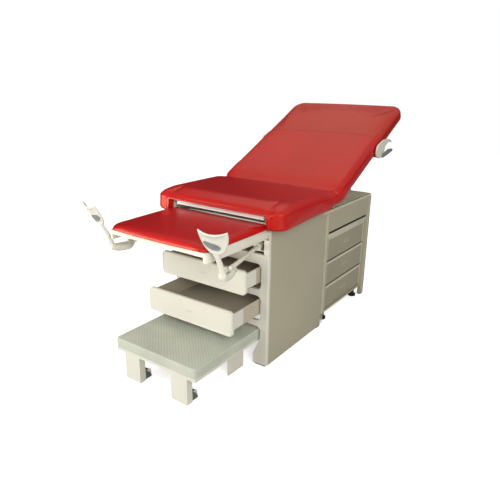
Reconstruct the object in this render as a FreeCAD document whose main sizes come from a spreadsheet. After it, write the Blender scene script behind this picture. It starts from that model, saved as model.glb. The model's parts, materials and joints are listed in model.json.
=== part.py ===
"""Medical exam table: cabinet with drawers, reclining backrest, sliding leg rest, step and stirrups.

Frame: +Z up, the foot end towards -Y, the side drawers on +X. The origin is on the floor, at the
centre of the table's outline. Millimetres. Every Y below is measured from the cabinet's front plane.
"""
import FreeCAD, Part
import math
import os
import Sketcher

Vec = FreeCAD.Vector
doc = FreeCAD.newDocument("ExamTable")
sheet = doc.addObject("Spreadsheet::Sheet", "Sizes")

SIZES = [
    ("front_plane", -440.6, "Y of the cabinet's front plane"),
    ("cabinet_half", 291, "half width of the cabinet"),
    ("cabinet_length", 1180, "front plane to back face"),
    ("deck_top", 680, "top of the rear deck"),
    ("steel", 2, "sheet steel"),
    ("front_section", 562, "length of the front side panels"),
    ("rear_bottom", 70, "underside of the rear section"),
    ("panel_thick", 18, "moulded front panel"),
    ("panel_top", 575, "top of the front panel"),
    ("opening_half", 250, "half width of the front openings"),
    ("opening_round", 24, "corner radius of the front openings"),
    ("seat_top", 810, "top of the seat cushion"),
    ("seat_half", 383, "half width of the seat cushion"),
    ("seat_front", -37, "front of the seat cushion"),
    ("seat_rear", 500, "rear of the seat cushion"),
    ("seat_core", 35, "cushion thickness over the seat board"),
    ("skirt_low", 716, "lower edge of the seat cushion's side lobes"),
    ("hinge_from_front", 545, "backrest hinge axis"),
    ("hinge_height", 768, "backrest hinge axis above the floor"),
    ("back_angle", 26, "backrest above horizontal, degrees"),
    ("back_half", 378, "half width of the backrest"),
    ("back_length", 924, "hinge axis to the top edge"),
    ("cushion_half", 42, "half thickness of the backrest cushion"),
    ("pan_thick", 8, "backrest pan"),
    ("link_reach", 188.8, "support arm pivot along the backrest"),
    ("link_drop", 66, "support arm pivot below the hinge axis"),
    ("arm_length", 320, "support arm, pivot to roller"),
    ("arm_angle", 18.24, "support arm below horizontal, degrees"),
    ("track_roller", 9, "radius of the support arm's rollers"),
    ("leg_half", 280, "half width of the leg rest frame"),
    ("leg_front", -426, "front of the leg rest frame"),
    ("leg_tail", 115, "rear of the leg rest frame"),
    ("leg_low", 657, "underside of the leg rest frame"),
    ("leg_high", 700, "top of the leg rest frame"),
    ("leg_front_rail", 19, "height of the leg rest's thin front rail"),
    ("leg_cushion", 27, "leg rest cushion thickness"),
    ("drawer_half", 243, "half width of the front drawer boxes"),
    ("drawer_depth", 430, "length of the front drawer boxes"),
    ("front_half", 256, "half width of the front drawer fronts"),
    ("front_thick", 15, "thickness of the drawer fronts"),
    ("upper_out", 117, "how far the upper drawer stands out"),
    ("lower_out", 214, "how far the lower drawer stands out"),
    ("side_first", 604, "side drawer opening, foot end"),
    ("side_last", 1112, "side drawer opening, head end"),
    ("side_low", 78, "side drawer opening, bottom"),
    ("side_high", 516, "side drawer opening, top"),
    ("side_depth", 330, "length of the side drawer boxes"),
    ("step_half", 243, "half width of the step"),
    ("step_front", -465, "front of the step"),
    ("step_tail", 75, "rear of the step"),
    ("step_top", 196, "top of the step"),
    ("tread_band", 46, "depth of the tread's band"),
    ("roller_radius", 22, "step rollers"),
    ("swivel_side", 216, "stirrup swivel axis from the centre plane"),
    ("swivel_back", 40, "stirrup swivel axis behind the front plane"),
    ("bar_height", 610, "stirrup bar axis above the floor"),
    ("bar_radius", 9.5, "stirrup bar"),
    ("bar_reach", 343, "swivel axis to the stirrup's fold pivot"),
    ("swing_angle", 14, "stirrup bars turned outwards, degrees"),
]


class Size:
    """A length that knows its value and the sheet formula that it comes from."""

    def __init__(self, value, text=None):
        self.value = value
        self.text = text or "({})".format(value)

    def mixed(self, other, sign, value):
        return Size(value, "({} {} {})".format(self.text, sign, other.text))

    def __add__(self, other):
        other = as_size(other)
        return self.mixed(other, "+", self.value + other.value)

    def __sub__(self, other):
        other = as_size(other)
        return self.mixed(other, "-", self.value - other.value)

    def __mul__(self, other):
        other = as_size(other)
        return self.mixed(other, "*", self.value * other.value)

    def __radd__(self, other):
        return as_size(other) + self

    def __rsub__(self, other):
        return as_size(other) - self

    def __rmul__(self, other):
        return as_size(other) * self

    def __neg__(self):
        return Size(-self.value, "(0 - {})".format(self.text))


def as_size(number):
    return number if isinstance(number, Size) else Size(number)


def fill_sheet():
    """Write the driving dimensions into the sheet and return them by name."""
    named = {}
    for row, (alias, number, note) in enumerate(SIZES, start=1):
        sheet.set("A{}".format(row), note)
        sheet.set("B{}".format(row), str(number))
        sheet.setAlias("B{}".format(row), alias)
        named[alias] = Size(number, "Sizes." + alias)
    doc.recompute()
    return named


D = fill_sheet()
NODES = {}


# ---------------------------------------------------------------- building blocks

def bind(item, prop, size):
    item.setExpression(prop, as_size(size).text)


def bind_place(item, x, y, z):
    for axis, size in zip("xyz", (x, y, z)):
        bind(item, "Placement.Base." + axis, size)


def keep(name, item):
    """Register an object as a finished sub-part."""
    item.Label = name
    NODES[name] = item
    return item


def block(name, x, y, z):
    """A box between two corners, each axis given as (low, high)."""
    box = doc.addObject("Part::Box", name)
    for prop, (low, high) in zip(("Length", "Width", "Height"), (x, y, z)):
        bind(box, prop, as_size(high) - low)
    bind_place(box, x[0], y[0], z[0])
    return box


def rod(name, axis, start, length, radius):
    """A cylinder from start along +X, +Y or +Z."""
    item = doc.addObject("Part::Cylinder", name)
    bind(item, "Radius", radius)
    bind(item, "Height", length)
    turn = {"x": (Vec(0, 1, 0), 90), "y": (Vec(1, 0, 0), -90), "z": (Vec(0, 0, 1), 0)}[axis]
    item.Placement = FreeCAD.Placement(Vec(), FreeCAD.Rotation(*turn))
    bind_place(item, *start)
    return item


def fuse(name, *items):
    item = doc.addObject("Part::MultiFuse", name)
    item.Shapes = list(items)
    item.Refine = True
    return item


def cut(name, base, *tools):
    item = doc.addObject("Part::Cut", name)
    item.Base = base
    item.Tool = tools[0] if len(tools) == 1 else fuse(name + "_tools", *tools)
    item.Refine = True
    return item


def group(name, *items):
    """Several separate solids in one sub-part."""
    item = doc.addObject("Part::Compound", name)
    item.Links = list(items)
    return item


def mirrored(name, source):
    """The same piece on the other side of the centre plane."""
    item = doc.addObject("Part::Mirroring", name)
    item.Source = source
    item.Base = Vec(0, 0, 0)
    item.Normal = Vec(1, 0, 0)
    return item


def pair(name, right):
    return group(name, right, mirrored(name + "_other", right))


def rounded(name, base, radius, wanted):
    """Round the edges of base for which wanted(edge) is true."""
    doc.recompute()
    item = doc.addObject("Part::Fillet", name)
    item.Base = base
    edges = enumerate(base.Shape.Edges, start=1)
    item.Edges = [(number, radius, radius) for number, edge in edges if wanted(edge)]
    return item


def runs_along(edge, direction):
    """Whether an edge is straight and parallel to a direction."""
    if edge.Curve.TypeId != "Part::GeomLine":
        return False
    return abs(edge.Curve.Direction.dot(direction)) > 0.999


def plate(name, plane, loops, thick, offset, reverse=False):
    """A padded body: polygons on one of its own origin planes, moved by offset along the normal.

    Its features stay at the origin plane, so they run from 0 to thick along the normal.
    """
    body = doc.addObject("PartDesign::Body", name)
    sketch = body.newObject("Sketcher::SketchObject", name + "_outline")
    support = next(item for item in body.Origin.OriginFeatures if item.Role == plane)
    sketch.AttachmentSupport = [(support, "")]
    sketch.MapMode = "FlatFace"
    for loop in loops:
        draw_loop(sketch, loop)
    pad = body.newObject("PartDesign::Pad", name + "_pad")
    pad.Profile = sketch
    pad.Reversed = reverse
    bind(pad, "Length", thick)
    normal_axis = {"XY_Plane": "z", "XZ_Plane": "y", "YZ_Plane": "x"}[plane]
    bind(body, "Placement.Base." + normal_axis, offset)
    doc.recompute()
    return body


def draw_loop(sketch, points):
    """A closed polygon whose corners are tied to the sheet."""
    first = sketch.GeometryCount
    count = len(points)
    corners = [(as_size(u), as_size(v)) for u, v in points]
    flat = [Vec(u.value, v.value, 0) for u, v in corners]
    for number in range(count):
        sketch.addGeometry(Part.LineSegment(flat[number], flat[(number + 1) % count]), False)
    for number in range(count):
        following = first + (number + 1) % count
        sketch.addConstraint(Sketcher.Constraint("Coincident", first + number, 2, following, 1))
    for number, (u, v) in enumerate(corners):
        for kind, size in (("DistanceX", u), ("DistanceY", v)):
            rule = Sketcher.Constraint(kind, -1, 1, first + number, 1, size.value)
            index = sketch.addConstraint(rule)
            label = "corner{}_{}".format(first + number, kind)
            sketch.renameConstraint(index, label)
            sketch.setExpression("Constraints." + label, size.text)


def round_corners(body, radius, wanted):
    """Add a fillet feature to a body on the edges for which wanted(edge) is true."""
    doc.recompute()
    base = body.Tip
    names = ["Edge{}".format(number) for number, edge in enumerate(base.Shape.Edges, start=1) if wanted(edge)]
    fillet = body.newObject("PartDesign::Fillet", body.Name + "_round{}".format(len(body.Group)))
    fillet.Base = (base, names)
    bind(fillet, "Radius", radius)
    body.Tip = fillet
    doc.recompute()


def depth(number):
    """A Y position, given from the cabinet's front plane."""
    return D["front_plane"] + number


def both_sides(half):
    return (-as_size(half), as_size(half))


# ---------------------------------------------------------------- cabinet

def side_outline():
    """Front side panel: to the floor at the foot end, stepping down behind the seat."""
    high = D["hinge_height"] - 10
    return [
        (depth(D["panel_thick"]), 5), (depth(D["front_section"]), 5),
        (depth(D["front_section"]), D["deck_top"] - 18), (depth(530), D["deck_top"] - 18),
        (depth(530), D["deck_top"]), (depth(465), D["deck_top"]),
        (depth(435), high), (depth(D["panel_thick"]), high),
    ]


def rear_outline():
    """Rear side frame: open underneath, with a post to the floor at the back."""
    rear = D["cabinet_length"]
    return [
        (depth(D["front_section"] + 3), D["rear_bottom"]), (depth(rear - 45), D["rear_bottom"]),
        (depth(rear - 45), 5), (depth(rear - D["steel"]), 5),
        (depth(rear - D["steel"]), D["deck_top"] - 18), (depth(D["front_section"] + 3), D["deck_top"] - 18),
    ]


def make_side_panels():
    inner = D["cabinet_half"] - D["steel"]
    keep("side_panel_right", plate("side_panel_right", "YZ_Plane", [side_outline()], D["steel"], inner))
    front = plate("side_left_front", "YZ_Plane", [side_outline()], D["steel"], -D["cabinet_half"])
    rear = plate("side_left_rear", "YZ_Plane", [rear_outline()], D["steel"], -D["cabinet_half"])
    strip = block("side_left_strip", (-D["cabinet_half"], -inner), (depth(D["front_section"] - 20),
                  depth(D["front_section"] + 30)), (D["rear_bottom"], D["deck_top"] - 18))
    keep("side_panel_left", fuse("side_panel_left", front, rear, strip))


def make_drawer_frame():
    """Side frame with the recess for three drawers and a vent slot above them."""
    opening = [(depth(D["side_first"]), D["side_low"]), (depth(D["side_last"]), D["side_low"]),
               (depth(D["side_last"]), D["side_high"]), (depth(D["side_first"]), D["side_high"])]
    slot = [(depth(D["side_first"]), D["side_high"] + 25), (depth(D["side_last"]), D["side_high"] + 25),
            (depth(D["side_last"]), D["side_high"] + 34), (depth(D["side_first"]), D["side_high"] + 34)]
    body = plate("drawer_frame", "YZ_Plane", [rear_outline(), opening, slot], 22, D["cabinet_half"] - 22)
    round_corners(body, 5, lambda edge: runs_along(edge, Vec(0, 0, 1)) and edge.CenterOfMass.x > 21
                  and edge.CenterOfMass.y < depth(D["front_section"] + 5).value)
    keep("drawer_frame", body)


def make_cabinet_sheets():
    inner = D["cabinet_half"] - D["steel"]
    rear = D["cabinet_length"]
    keep("back_panel", block("back_panel", both_sides(D["cabinet_half"]),
                             (depth(rear - D["steel"]), depth(rear)), (D["rear_bottom"], D["deck_top"] - 18)))
    keep("partition", block("partition", (-inner + 0.5, D["cabinet_half"] - 22.5), (depth(572), depth(574)),
                            (D["rear_bottom"] + 3, D["deck_top"] - 19)))
    floor = block("floor_plate", (-inner + 0.5, D["cabinet_half"] - 23), (depth(574), depth(rear - 3)),
                  (D["rear_bottom"], D["rear_bottom"] + D["steel"]))
    keep("floor_pan", floor)
    outer = block("deck_outer", both_sides(D["cabinet_half"]), (depth(530), depth(rear)),
                  (D["deck_top"] - 18, D["deck_top"]))
    edge_round = 16
    skin = rounded("deck_skin", outer, edge_round, lambda edge: edge.CenterOfMass.z > D["deck_top"].value - 1
                   and edge.CenterOfMass.y > depth(535).value)
    hollow = block("deck_hollow", both_sides(inner - 3), (depth(533), depth(rear - 5)),
                   (D["deck_top"] - 30, D["deck_top"] - D["steel"]))
    keep("top_deck", cut("top_deck", skin, hollow))


def make_front_panel():
    """Moulded front: upper and lower drawer openings over the step's opening between two flared legs."""
    half = D["cabinet_half"]
    side = D["opening_half"]
    outline = [(-half, 6), (-212, 6), (-212, 58), (-246, 132), (-side, 150), (-side, 207), (side, 207),
               (side, 150), (246, 132), (212, 58), (212, 6), (half, 6), (half, D["panel_top"]),
               (-half, D["panel_top"])]
    upper = [(-side, 399), (side, 399), (side, 528), (-side, 528)]
    lower = [(-side, 238), (side, 238), (side, 367), (-side, 367)]
    body = plate("front_panel", "XZ_Plane", [outline, upper, lower], D["panel_thick"],
                 D["front_plane"], reverse=True)

    def opening_corner(edge):
        if not runs_along(edge, Vec(0, 1, 0)):
            return False
        middle = edge.CenterOfMass
        return abs(abs(middle.x) - side.value) < 0.5 and middle.z > 200

    def outer_edge(edge):
        middle = edge.CenterOfMass
        return runs_along(edge, Vec(0, 0, 1)) and abs(middle.x) > half.value - 1 and middle.y < 1

    round_corners(body, D["opening_round"], opening_corner)
    round_corners(body, 7, outer_edge)
    keep("front_panel", body)


def make_seat_frame():
    """Welded steel under the seat: corner posts with the stirrup slots, long rails and cross rails."""
    half = D["cabinet_half"]
    inner = half - D["steel"] - 0.5
    low_post = block("post_low", (263, half), (depth(0), depth(16)), (D["panel_top"] + 1, 650))
    high_post = block("post_high", (half - 3.5, half), (depth(0), depth(16)), (648, D["hinge_height"] - 10))
    rail = block("seat_long_rail", (262, inner), (depth(0), depth(490)), (736, D["hinge_height"] - 8))
    rail_hollow = block("seat_rail_hollow", (265, inner - 3), (depth(-1), depth(491)), (739, D["hinge_height"] - 11))
    tube = cut("seat_long_tube", rail, rail_hollow)
    right = fuse("seat_frame_right", low_post, high_post, tube)
    front_bar = block("seat_front_bar", both_sides(263), (depth(5), depth(30)), (739, D["hinge_height"] - 8))
    rear_bar = block("seat_rear_bar", both_sides(263), (depth(465), depth(490)), (739, D["hinge_height"] - 8))
    keep("seat_frame", fuse("seat_frame", right, mirrored("seat_frame_left", right), front_bar, rear_bar))
    keep("seat_rail", block("seat_rail", both_sides(262), (depth(-6), depth(-0.3)), (742, 772)))


def make_seat():
    board_top = D["seat_top"] - D["seat_core"]
    keep("seat_board", block("seat_board", both_sides(D["seat_half"] - 90), (depth(0), depth(495)),
                             (D["hinge_height"] - 8, board_top)))
    raised = D["hinge_height"] + 2
    side = [(depth(D["seat_front"]), D["skirt_low"]), (depth(402), D["skirt_low"]), (depth(462), raised),
            (depth(D["seat_rear"]), raised), (depth(D["seat_rear"]), D["seat_top"]),
            (depth(D["seat_front"]), D["seat_top"])]
    solid = plate("seat_pad_solid", "YZ_Plane", [side], 2 * D["seat_half"], -D["seat_half"])
    round_corners(solid, 24, lambda edge: runs_along(edge, Vec(1, 0, 0))
                  and edge.CenterOfMass.z < raised.value + 1
                  and depth(390).value < edge.CenterOfMass.y < depth(470).value)
    space = block("seat_pad_space", both_sides(D["seat_half"] - 89), (depth(-3), depth(D["seat_rear"] + 1)),
                  (700, board_top))
    front_gap = block("seat_pad_gap", both_sides(286), (depth(D["seat_front"] - 1), depth(0)), (700, board_top))
    blank = cut("seat_pad_blank", solid, space, front_gap)

    def upper_rim(edge):
        middle = edge.CenterOfMass
        on_top = middle.z > D["seat_top"].value - 1
        corner = runs_along(edge, Vec(0, 0, 1)) and abs(middle.x) > 380 and middle.y < depth(0).value
        return (on_top and middle.y < depth(490).value) or corner

    keep("seat_pad", rounded("seat_pad", blank, 26, upper_rim))


def make_guides():
    """Channels and runners that the sliding pieces ride on."""
    inner = D["cabinet_half"] - D["steel"] - 0.3
    guide = block("leg_guide_web", (inner - 2, inner), (depth(20), depth(528)), (662, 697))
    lower = block("leg_guide_low", (inner - 8, inner), (depth(20), depth(528)), (662, 665))
    upper = block("leg_guide_high", (inner - 8, inner), (depth(20), depth(528)), (694, 697))
    keep("leg_rest_guides", pair("leg_rest_guides", fuse("leg_guide", guide, lower, upper)))

    wall = block("inner_wall", (257, 259), (depth(19), depth(571)), (130, 560))
    flange = block("inner_wall_flange", (257, 288), (depth(19), depth(21)), (540, 560))
    keep("inner_walls", pair("inner_walls", fuse("inner_wall_right", wall, flange)))

    runners = [block("front_runner_{}".format(level), (236, 256.7), (depth(20), depth(560)), (level, level + 5))
               for level in (432, 266)]
    keep("front_runners", group("front_runners", *runners,
                                *[mirrored(item.Name + "_other", item) for item in runners]))

    ledge = block("step_ledge", (239.3, 256.7), (depth(20), depth(560)), (141, 149.5))
    cap = block("step_cap", (239.3, 256.7), (depth(20), depth(560)), (197, 203))
    keep("step_guides", pair("step_guides", group("step_guide_right", ledge, cap)))


def side_levels():
    """Bottom and top of each side drawer front, lowest first."""
    third = (D["side_high"] - D["side_low"]) * (1 / 3)
    gap = 1.5
    return [(D["side_low"] + number * third + gap, D["side_low"] + (number + 1) * third - gap)
            for number in range(3)]


def make_side_runners():
    strips = []
    for number, (low, _) in enumerate(side_levels(), start=1):
        for place, start in (("first", D["side_first"] + 12), ("last", D["side_last"] - 24)):
            strips.append(block("side_runner_{}_{}".format(place, number), (-64.7, 268),
                                (depth(start), depth(start + 12)), (low + 10, low + 14.5)))
    post_a = block("runner_post_a", (-67, -65), (depth(D["side_first"]), depth(D["side_last"])), (73, 540))
    keep("side_runners", group("side_runners", post_a, *strips))


def make_hinges_and_tracks():
    """Backrest hinge brackets on the deck, their pins, and the two tracks of the support arm."""
    axis = (depth(D["hinge_from_front"]), D["hinge_height"])
    web = block("bracket_web", (270, 276), (depth(532), depth(560)), (D["deck_top"], D["hinge_height"]))
    foot = block("bracket_foot", (250, 276), (depth(532), depth(575)), (D["deck_top"], D["deck_top"] + 4))
    eye = rod("bracket_eye", "x", (270, *axis), 6, 15)
    bore = rod("bracket_bore", "x", (269, *axis), 8, 8)
    right = cut("bracket_right", fuse("bracket_blank", web, foot, eye), bore)
    keep("hinge_brackets", pair("hinge_brackets", right))
    keep("hinge_pins", pair("hinge_pins", rod("hinge_pin", "x", (260, *axis), 17, 8)))

    level = D["deck_top"]
    floor = block("track_floor", (168, 192), (depth(870), depth(1085)), (level, level + 1.3))
    wall = block("track_wall", (190, 192), (depth(870), depth(1085)), (level, level + 25))
    lip = block("track_lip", (178, 192), (depth(870), depth(1085)), (level + 23, level + 25))
    keep("arm_tracks", pair("arm_tracks", fuse("arm_track", floor, wall, lip)))


def make_feet():
    inset = D["cabinet_half"] - 40
    feet = []
    for name, start in (("front", 660), ("rear", 1090)):
        pad = rod("foot_pad_" + name, "z", (inset, depth(start), 0), 14, 24)
        stem = rod("foot_stem_" + name, "z", (inset, depth(start), 13), D["rear_bottom"] - 13, 13)
        feet.append(fuse("foot_" + name, pad, stem))
    keep("rear_feet", group("rear_feet", *feet, *[mirrored(item.Name + "_other", item) for item in feet]))
    glide = block("front_glide", (222, 282), (depth(2), depth(17)), (0, 6))
    heel = block("heel_glide", (270, D["cabinet_half"]), (depth(520), depth(560)), (0, 5))
    post = block("post_glide", (270, D["cabinet_half"]), (depth(1137), depth(1177)), (0, 5))
    glides = [glide, heel, post]
    keep("front_glides", group("front_glides", *glides, *[mirrored(item.Name + "_other", item) for item in glides]))
    screws = []
    for row in (110, 370, 630):
        for column in (-270, -135, 0, 135, 270):
            screws.append(rod("screw_{}_{}".format(row, column + 270), "y",
                              (column, depth(D["cabinet_length"]), row), 2.5, 4.5))
    keep("panel_screws", group("panel_screws", *screws))


# ---------------------------------------------------------------- backrest

def tilted(item):
    """Place a piece drawn with the backrest lying flat and its hinge axis at the origin."""
    item.Placement = FreeCAD.Placement(Vec(), FreeCAD.Rotation(Vec(1, 0, 0), D["back_angle"].value))
    bind_place(item, 0, depth(D["hinge_from_front"]), D["hinge_height"])
    return item


def make_backrest():
    half = D["cushion_half"]
    slab = block("back_slab", both_sides(D["back_half"]), (0, D["back_length"]), both_sides(half))
    nose = rod("back_nose", "x", (-D["back_half"], 0, 0), 2 * D["back_half"], half)
    whole = fuse("back_blank", slab, nose)
    corners = rounded("back_corners", whole, 68, lambda edge: runs_along(edge, Vec(0, 0, 1))
                      and edge.CenterOfMass.y > 900)
    slots = [block("hinge_slot_" + side, (low, low + 21), (-45, 46), (-half - 1, 20))
             for side, low in (("right", 259), ("left", -280))]
    notched = cut("back_notched", corners, *slots)

    def rim(edge):
        middle = edge.CenterOfMass
        flat_face = abs(abs(middle.z) - half.value) < 0.01
        return flat_face and (middle.y > 900 or (abs(middle.x) > 377 and middle.y > 100))

    keep("backrest_pad", tilted(rounded("backrest_pad", notched, 16, rim)))
    low = -half - D["pan_thick"]
    pan = block("pan_blank", both_sides(D["back_half"] - 30), (48, D["back_length"] - 30), (low, -half))
    keep("backrest_pan", tilted(rounded("backrest_pan", pan, 40, lambda edge: runs_along(edge, Vec(0, 0, 1)))))

    strap = block("knuckle_strap", (263, 268), (-12, 110), (low - 4, low))
    web = block("knuckle_web", (263, 268), (-12, 46), (low - 4, 0))
    eye = rod("knuckle_eye", "x", (263, 0, 0), 5, 14)
    bore = rod("knuckle_bore", "x", (262, 0, 0), 7, 8.05)
    knuckle = cut("knuckle", fuse("knuckle_blank", strap, web, eye), bore)
    lug = block("lug_web", (150, 157), (D["link_reach"] - 18, D["link_reach"] + 18), (-D["link_drop"], low))
    lug_eye = rod("lug_eye", "x", (150, D["link_reach"], -D["link_drop"]), 7, 9)
    lug_bore = rod("lug_bore", "x", (149, D["link_reach"], -D["link_drop"]), 9, 5.05)
    arm_lug = cut("arm_lug", fuse("lug_blank", lug, lug_eye), lug_bore)
    keep("hinge_knuckles", tilted(pair("hinge_knuckles", group("knuckle_set", knuckle, arm_lug))))


SHAFT_ALONG = 505
SHAFT_DROP = -57


def grip_outline():
    """Crescent open towards the head end, in the plane of the backrest's side."""
    def arc(start, middle, end):
        return Part.Arc(*[Vec(0, *point) for point in (start, middle, end)]).toShape()

    def line(start, end):
        return Part.LineSegment(Vec(0, *start), Vec(0, *end)).toShape()

    return Part.Wire([
        arc((655, -50), (598, -4), (495, 22)), arc((495, 22), (439, -8), (470, -54)),
        line((470, -54), (512, -78)), line((512, -78), (540, -66)),
        arc((540, -66), (545, -44), (588, -32)), arc((588, -32), (622, -38), (650, -57)),
        line((650, -57), (655, -50)),
    ])


def make_release():
    """Moulded grips at both edges of the backrest, with a shaft and two squeeze levers."""
    grip = doc.addObject("Part::Feature", "grip_blank")
    grip.Shape = Part.Face(grip_outline()).extrude(Vec(10, 0, 0))
    grip.Placement = FreeCAD.Placement(Vec(384, 0, 0), FreeCAD.Rotation())
    bore = rod("grip_bore", "x", (330, SHAFT_ALONG, SHAFT_DROP), 80, 5.05)
    strap = block("grip_strap", (318, 386), (470, 500), (-54, -50))
    bearing = block("shaft_bearing", (318, 330), (490, 520), (SHAFT_DROP - 9, -50))
    bearing_bore = rod("bearing_bore", "x", (317, SHAFT_ALONG, SHAFT_DROP), 14, 5.05)
    right = cut("grip_right", fuse("grip_fused", grip, strap, bearing), bore, bearing_bore)
    keep("release_grips", tilted(pair("release_grips", right)))

    shaft = rod("shaft_rod", "x", (-402, SHAFT_ALONG, SHAFT_DROP), 804, 5)
    keep("release_shaft", tilted(group("release_shaft", shaft)))
    for side, low in (("right", 394.5), ("left", -401.5)):
        hub = rod("lever_hub_" + side, "x", (low, SHAFT_ALONG, SHAFT_DROP), 7, 11)
        blade = plate("lever_blade_" + side, "YZ_Plane",
                      [[(505, -71), (560, -88), (636, -107), (643, -101), (640, -93), (584, -64), (509, -50)]],
                      7, low)
        name = "release_lever_" + side
        hole = rod("lever_hole_" + side, "x", (low - 1, SHAFT_ALONG, SHAFT_DROP), 9, 5)
        keep(name, tilted(cut(name, fuse("lever_blank_" + side, hub, blade), hole)))


def make_support_arm():
    """Two arms from the backrest's lugs down to the rollers in the deck tracks."""
    turn = math.radians(D["back_angle"].value)
    reach, drop = D["link_reach"].value, D["link_drop"].value
    pivot = Vec(0, depth(D["hinge_from_front"]).value + reach * math.cos(turn) + drop * math.sin(turn),
                D["hinge_height"].value + reach * math.sin(turn) - drop * math.cos(turn))

    def placed(item):
        item.Placement = FreeCAD.Placement(pivot, FreeCAD.Rotation(Vec(1, 0, 0), -D["arm_angle"].value))
        return item

    length = D["arm_length"]
    bar = block("arm_bar", (159, 165), (0, length), (-8, 8))
    ends = [rod("arm_end_{}".format(place), "x", (159, start, 0), 6, 9) for place, start in (("a", 0), ("b", length))]
    pin = rod("arm_pin", "x", (148, 0, 0), 13, 5)
    right = fuse("arm_right", bar, *ends, pin)
    cross = rod("arm_cross", "x", (-160, length - 40, 0), 320, 6)
    axle = rod("arm_axle", "x", (-186, length, 0), 372, 4)
    keep("support_arm", placed(fuse("support_arm", right, mirrored("arm_left", right), cross, axle)))
    wheel = rod("arm_wheel", "x", (169, length, 0), 17, D["track_roller"])
    hole = rod("arm_wheel_hole", "x", (168, length, 0), 19, 4)
    keep("arm_rollers", placed(pair("arm_rollers", cut("arm_roller", wheel, hole))))


# ---------------------------------------------------------------- leg rest

def make_leg_rest():
    half = D["leg_half"]
    front, tail = depth(D["leg_front"]), depth(D["leg_tail"])
    low, high = D["leg_low"], D["leg_high"]
    outer = block("leg_outer", both_sides(half), (front, tail), (low, high))
    inside = block("leg_inside", both_sides(half - 20), (front + 20, tail - 20), (low - 1, high + 1))
    below_front = block("leg_below_front", both_sides(half - 20), (front - 1, front + 21),
                        (low - 1, high - D["leg_front_rail"]))
    frame = cut("leg_frame_ring", outer, inside, below_front)
    tie = block("leg_tie", both_sides(half - 19), (depth(-180), depth(-150)), (low + 14, high - 9))
    round_front = rounded("leg_rest_frame", fuse("leg_frame_blank", frame, tie), 14,
                          lambda edge: runs_along(edge, Vec(0, 0, 1)) and abs(edge.CenterOfMass.x) > half.value - 1
                          and edge.CenterOfMass.y < front.value + 1)
    keep("leg_rest_frame", round_front)
    runner = block("leg_runner", (half, half + 6), (depth(-200), tail), (666, 693.3))
    keep("leg_rest_runners", pair("leg_rest_runners", runner))
    keep("leg_rest_board", block("leg_rest_board", both_sides(half - 21), (front + 21, depth(0)), (high - 8, high)))
    pad = block("leg_pad_blank", both_sides(half + 2), (depth(D["leg_front"] - 14), depth(6)),
                (high, high + D["leg_cushion"]))
    vertical = rounded("leg_pad_corners", pad, 30, lambda edge: runs_along(edge, Vec(0, 0, 1))
                       and edge.CenterOfMass.y < front.value)
    keep("leg_rest_pad", rounded("leg_rest_pad", vertical, 12,
                                 lambda edge: edge.CenterOfMass.z > high.value + D["leg_cushion"].value - 1
                                 and edge.CenterOfMass.y < depth(5).value))


# ---------------------------------------------------------------- step

def make_step():
    half, front, tail = D["step_half"], depth(D["step_front"]), depth(D["step_tail"])
    band_low = D["step_top"] - D["tread_band"]
    outer = block("tread_outer", both_sides(half), (front, tail), (band_low, D["step_top"]))
    corners = rounded("tread_corners", outer, 18, lambda edge: runs_along(edge, Vec(0, 0, 1))
                      and edge.CenterOfMass.y < front.value + 1)
    soft = rounded("tread_soft", corners, 7, lambda edge: edge.CenterOfMass.z > D["step_top"].value - 1
                   and edge.CenterOfMass.y < tail.value - 1)
    under = block("tread_under", both_sides(half - 4), (front + 4, tail + 1), (band_low - 1, D["step_top"] - 6))
    keep("step_tread", cut("step_tread", soft, under))

    skirt = block("skirt_outer", both_sides(half - 4.3), (front + 4.3, tail), (132, D["step_top"] - 6.3))
    hollow = block("skirt_hollow", both_sides(half - 9), (front + 9, tail - 5), (131, D["step_top"] - 11))
    shell = cut("skirt_shell", skirt, hollow)
    pieces = [shell]
    for side, sign in (("right", 1), ("left", -1)):
        low, high = (97, 190) if sign > 0 else (-190, -97)
        leg = block("leg_solid_" + side, (low, high), (front + 5, front + 39), (0.5, 140))
        room = block("leg_room_" + side, (low + 4, high - 4), (front + 9, front + 40), (-1, 132))
        ears = [block("ear_{}_{}".format(side, place), (edge, edge + 4), (front + 30, front + 74), (8, 46))
                for place, edge in (("in", low + 4), ("out", high - 8))]
        pieces.append(cut("leg_" + side, fuse("leg_blank_" + side, cut("leg_shell_" + side, leg, room), *ears),
                          rod("leg_bore_" + side, "x", (low, front + 61, D["roller_radius"]), 93, 5)))
        fin = (198, 204) if sign > 0 else (-204, -198)
        pieces.append(block("fin_" + side, fin, (depth(-187), depth(-70)), (15, 187)))
    keep("step_body", fuse("step_body", *pieces))

    axle = rod("step_axle", "x", (101, front + 61, D["roller_radius"]), 85, 5)
    keep("step_axles", pair("step_axles", axle))
    for side, low in (("right", 107), ("left", -180)):
        name = "step_roller_" + side
        wheel = rod("wheel_" + side, "x", (low, front + 61, D["roller_radius"]), 73, D["roller_radius"])
        hole = rod("wheel_hole_" + side, "x", (low - 1, front + 61, D["roller_radius"]), 75, 5.08)
        keep(name, cut(name, wheel, hole))


# ---------------------------------------------------------------- drawers

def tray(name, x, y, z, wall=3):
    """An open box with thin walls."""
    outer = block(name + "_outer", x, y, z)
    room = block(name + "_room", (as_size(x[0]) + wall, as_size(x[1]) - wall),
                 (as_size(y[0]) + wall, as_size(y[1]) - wall), (as_size(z[0]) + wall, as_size(z[1]) + 1))
    return cut(name, outer, room)


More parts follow.
